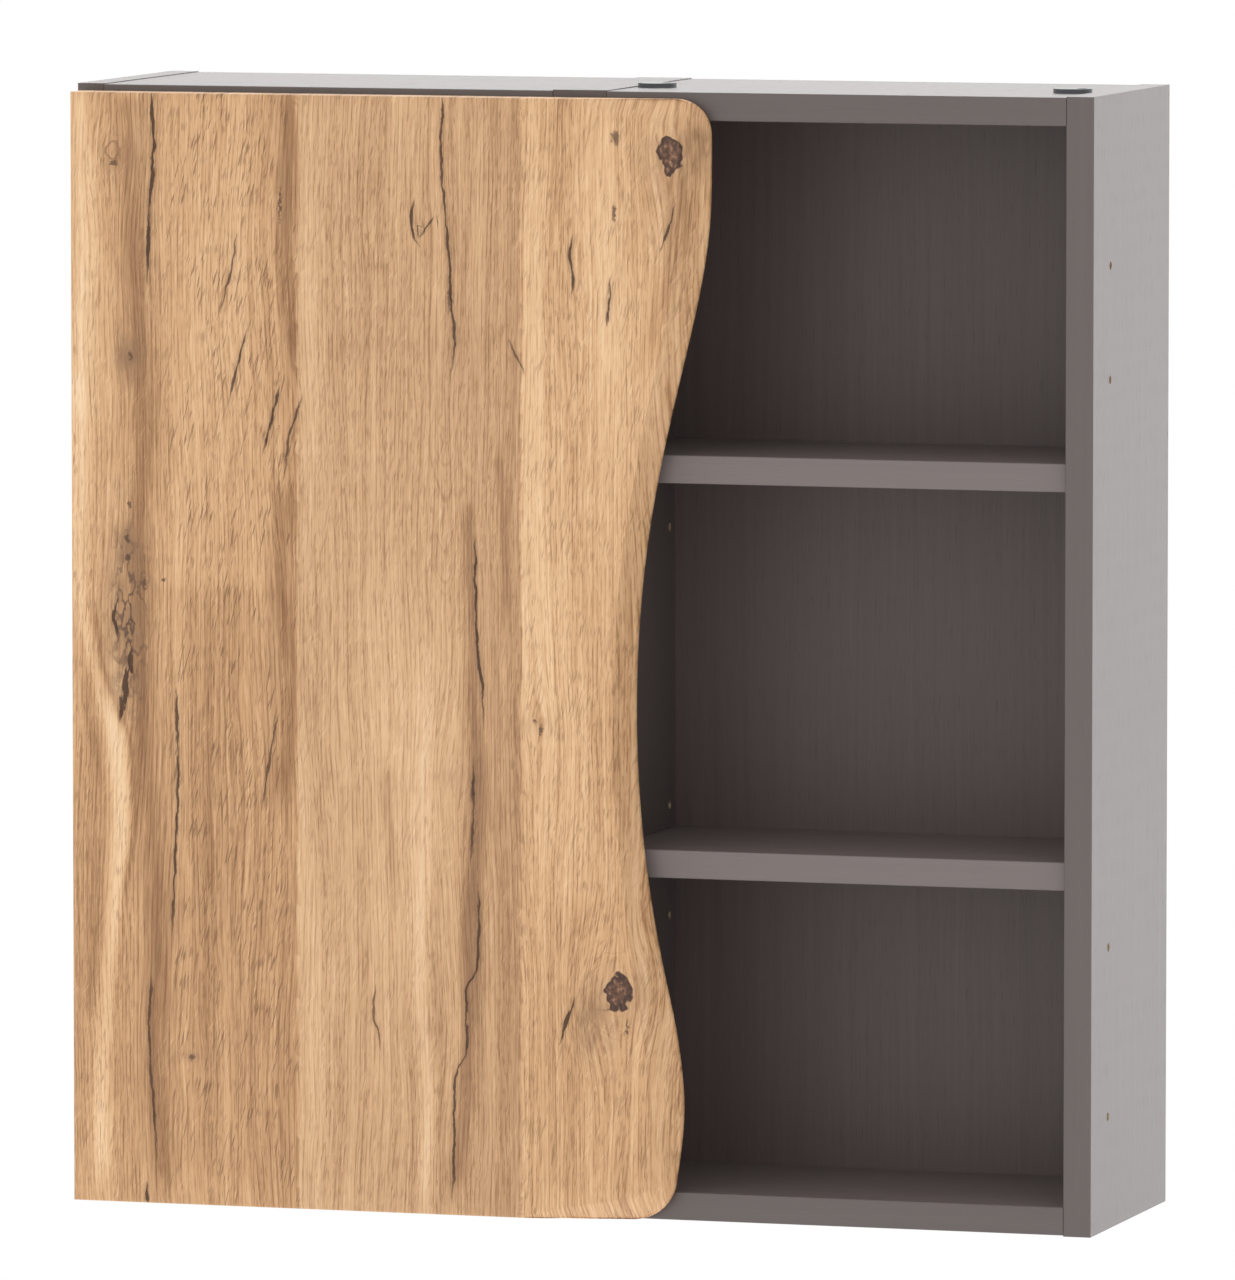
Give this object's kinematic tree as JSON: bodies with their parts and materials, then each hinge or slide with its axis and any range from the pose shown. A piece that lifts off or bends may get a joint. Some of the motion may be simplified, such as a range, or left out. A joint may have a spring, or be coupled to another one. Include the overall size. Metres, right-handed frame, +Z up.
{
  "type": "wall cabinet",
  "caption": "Wall-hung cabinet with a wavy-edged wooden swing door over closed shelves on the left and open shelves on the right.",
  "frame": {"origin": "on the wall plane, midway between the outer pair of hanging holes, 45 mm below the cabinet's top", "axes": "+X to the right seen from the front, -Y out of the wall towards the room, +Z up"},
  "size_m": [0.6, 0.187, 0.644],
  "materials": {
    "dark_board": "matt melamine on chipboard",
    "edge_band": "matt plastic edge band",
    "back_board": "matt coated thin board",
    "oak": "oiled oak",
    "beech": "plain",
    "dark_plastic": "matt",
    "clear_rubber": "soft, milky",
    "zinc": "die-cast zinc",
    "nickel_steel": "nickel plated"
  },
  "bodies": {
    "cabinet": {"arm_screws": "nickel_steel", "bracket_screws": "nickel_steel", "hanging_brackets": "nickel_steel", "hinge_arms": "nickel_steel", "hinge_plates": "nickel_steel", "join_screws": "zinc", "join_sleeves": "zinc", "left_back_panel": "back_board", "left_bolts": "zinc", "left_bottom_panel": "dark_board", "left_caps": "dark_plastic", "left_dowels": "beech", "left_housings": "zinc", "left_inner_side": "dark_board", "left_lower_shelf": "dark_board", "left_outer_side": "dark_board", "left_panel_bands": "edge_band", "left_shelf_bands": "edge_band", "left_shelf_pins": "nickel_steel", "left_top_panel": "dark_board", "left_upper_shelf": "dark_board", "plate_screws": "nickel_steel", "right_back_panel": "back_board", "right_bolts": "zinc", "right_bottom_panel": "dark_board", "right_caps": "dark_plastic", "right_dowels": "beech", "right_housings": "zinc", "right_inner_side": "dark_board", "right_lower_shelf": "dark_board", "right_outer_side": "dark_board", "right_panel_bands": "edge_band", "right_shelf_bands": "edge_band", "right_shelf_pins": "nickel_steel", "right_top_panel": "dark_board", "right_upper_shelf": "dark_board", "side_bands": "edge_band"},
    "door": {"door_panel": "oak", "hinge_cups": "nickel_steel", "cup_screws": "nickel_steel", "hinge_pins": "nickel_steel", "door_bumpers": "clear_rubber"}
  },
  "joints": [
    {"name": "door_hinge", "type": "hinge", "parent": "cabinet", "child": "door", "pos_m": [-0.29, -0.177, -0.275], "axis": [0, 0, -1], "range_deg": [0, 95]}
  ]
}
